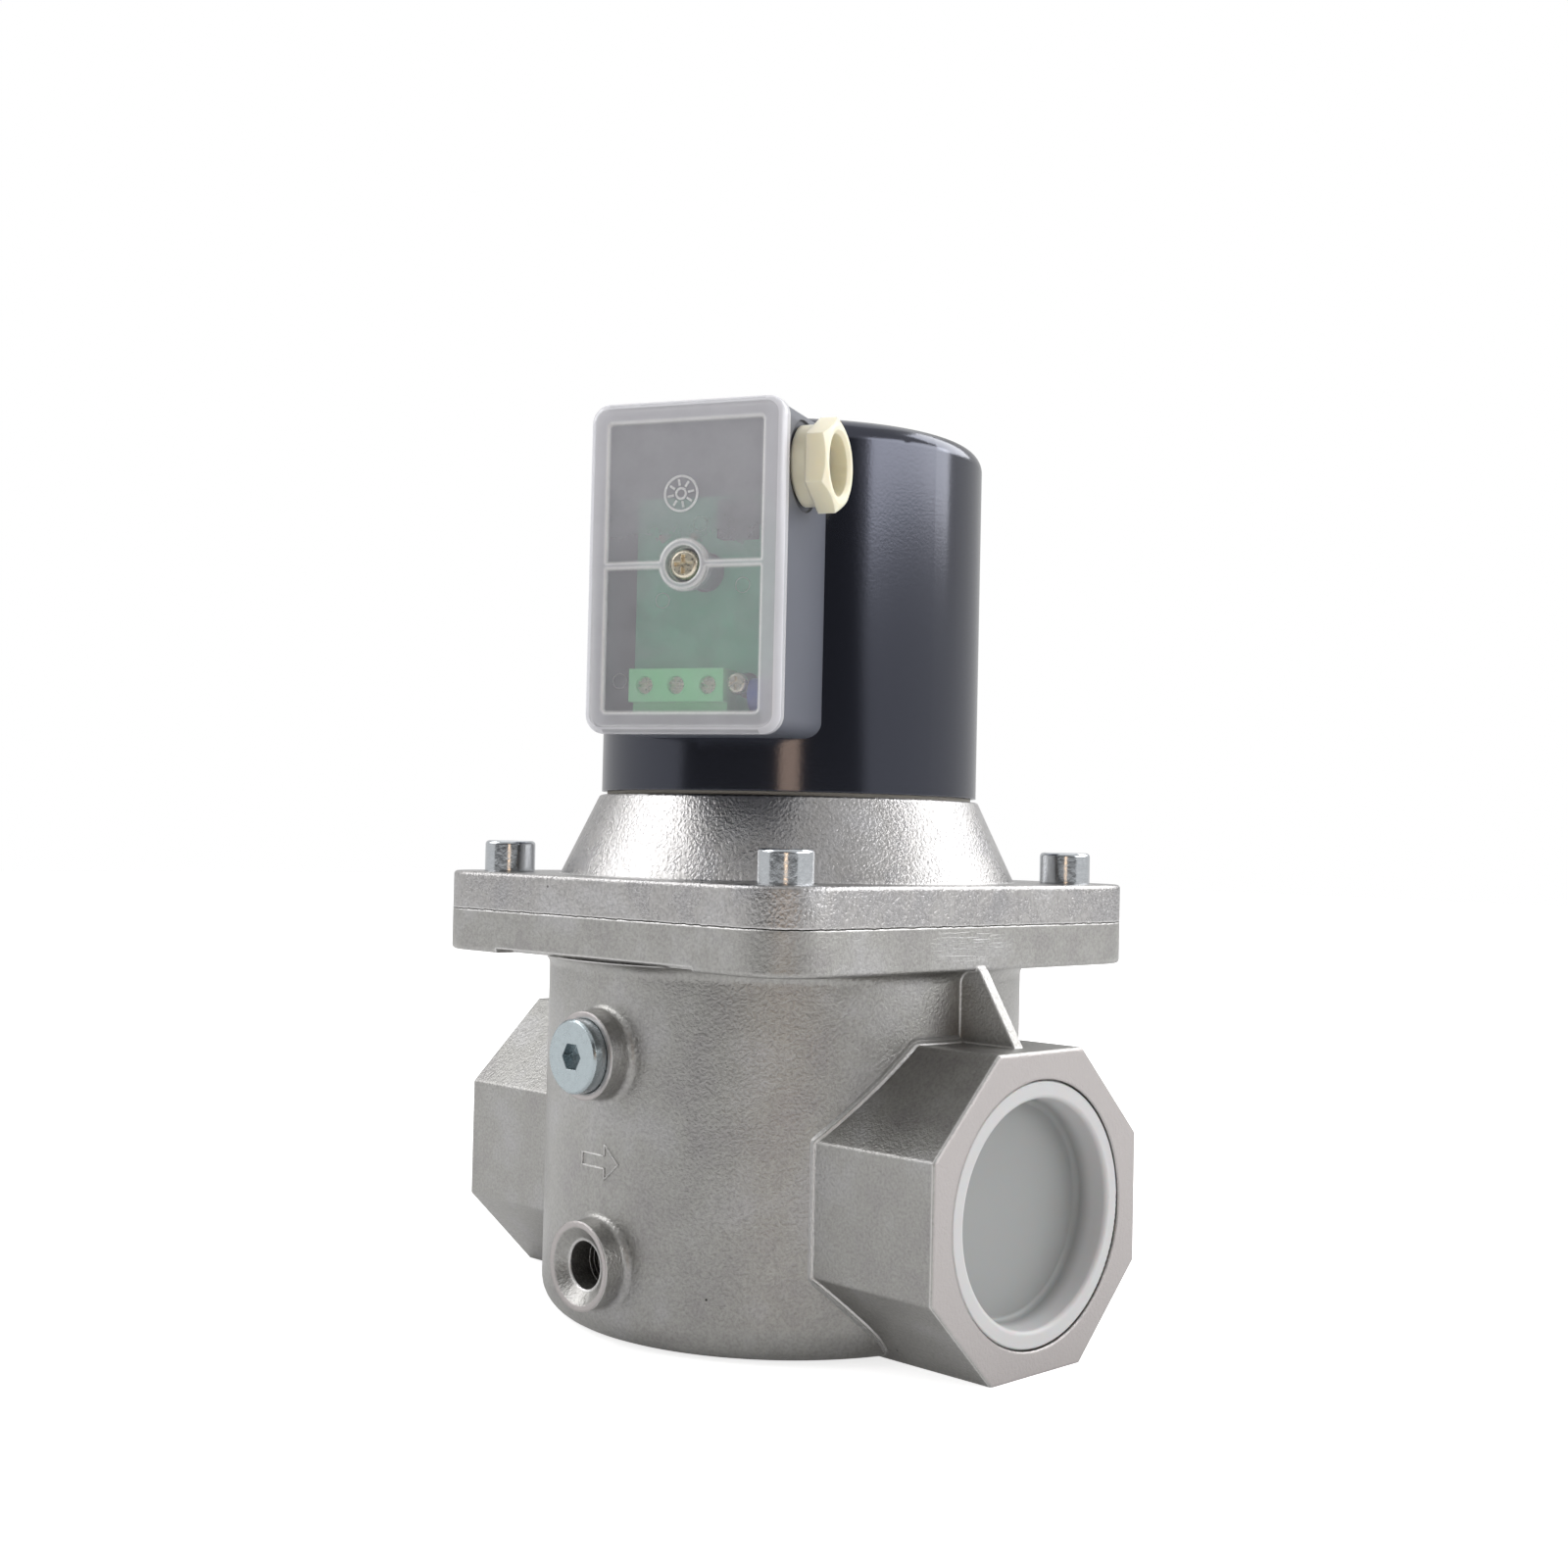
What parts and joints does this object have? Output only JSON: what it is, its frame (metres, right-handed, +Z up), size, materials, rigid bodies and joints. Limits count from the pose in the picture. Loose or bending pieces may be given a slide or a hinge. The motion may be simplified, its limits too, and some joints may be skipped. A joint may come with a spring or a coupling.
{
  "type": "gas solenoid valve",
  "caption": "Normally closed gas solenoid valve with threaded octagonal ports, bolted bonnet, round coil and side terminal box with cable gland.",
  "frame": {"origin": "centre of the flat base of the body, under the valve stem", "axes": "+Z up along the stem, +X along the pipe in the direction of flow, -Y the side with the two test points"},
  "size_m": [0.17, 0.1428, 0.2295],
  "materials": {
    "cast_aluminium": "as cast, fine grain",
    "zinc_plated_steel": "bright zinc plate",
    "nickel_plated_steel": "bright nickel plate",
    "black_rubber": "matt moulded",
    "white_polyethylene": "milky moulded",
    "stainless_steel": "drawn",
    "soft_iron": "turned",
    "turned_aluminium": "turned",
    "ptfe": "satin moulded",
    "black_enamel": "satin baked enamel",
    "glass_filled_nylon": "moulded",
    "copper_winding": "enamelled wire",
    "white_fibre": "pressed sheet",
    "grey_plastic": "satin moulded",
    "clear_polycarbonate": "clear moulded",
    "cream_nylon": "satin moulded",
    "board_laminate": "solder-mask lacquer",
    "green_plastic": "moulded",
    "black_epoxy": "moulded",
    "blue_epoxy": "dipped",
    "tinned_brass": "drawn"
  },
  "bodies": {
    "valve": {"valve_body": "cast_aluminium", "bonnet": "cast_aluminium", "bonnet_seal": "black_rubber", "bonnet_screw_1": "zinc_plated_steel", "bonnet_screw_2": "zinc_plated_steel", "bonnet_screw_3": "zinc_plated_steel", "bonnet_screw_4": "zinc_plated_steel", "test_plug": "zinc_plated_steel", "test_plug_seal": "black_rubber", "outlet_cap": "white_polyethylene", "inlet_strainer": "stainless_steel", "armature_tube": "stainless_steel", "tube_seal": "black_rubber", "fixed_core": "soft_iron", "coil_washer": "zinc_plated_steel", "coil_nut": "zinc_plated_steel", "coil_base_ring": "white_fibre", "closing_spring": "stainless_steel"},
    "plunger_group": {"plunger": "soft_iron", "guide_ring_1": "ptfe", "guide_ring_2": "ptfe", "valve_stem": "stainless_steel", "valve_disc": "turned_aluminium", "disc_seal": "black_rubber", "disc_washer": "zinc_plated_steel", "disc_nut": "zinc_plated_steel"},
    "coil_group": {"coil_shell": "black_enamel", "coil_base_plate": "soft_iron", "coil_bobbin": "glass_filled_nylon", "coil_winding": "copper_winding", "terminal_box": "grey_plastic", "box_gasket": "black_rubber", "box_cover": "clear_polycarbonate", "cover_screw": "nickel_plated_steel", "gland_body": "cream_nylon", "gland_seal": "black_rubber", "gland_nut": "cream_nylon", "circuit_board": "board_laminate", "bridge_rectifier": "black_epoxy", "varistor": "blue_epoxy", "terminal_block": "green_plastic", "terminal_screw_1": "nickel_plated_steel", "terminal_screw_2": "nickel_plated_steel", "terminal_screw_3": "nickel_plated_steel", "earth_screw": "nickel_plated_steel", "coil_pin_1": "tinned_brass", "coil_pin_2": "tinned_brass", "box_screw_1": "zinc_plated_steel", "box_screw_2": "zinc_plated_steel"}
  },
  "joints": [
    {"name": "plunger_lift", "type": "slide", "parent": "valve", "child": "plunger_group", "axis": [0, 0, 1], "range_m": [0, 0.012], "stiffness_N_per_m": 800, "springref_m": -0.025, "deforming": ["closing_spring"]},
    {"name": "coil_swivel", "type": "hinge", "parent": "valve", "child": "coil_group", "pos_m": [0, 0, 0.1329], "axis": [0, 0, 1], "continuous": true}
  ]
}
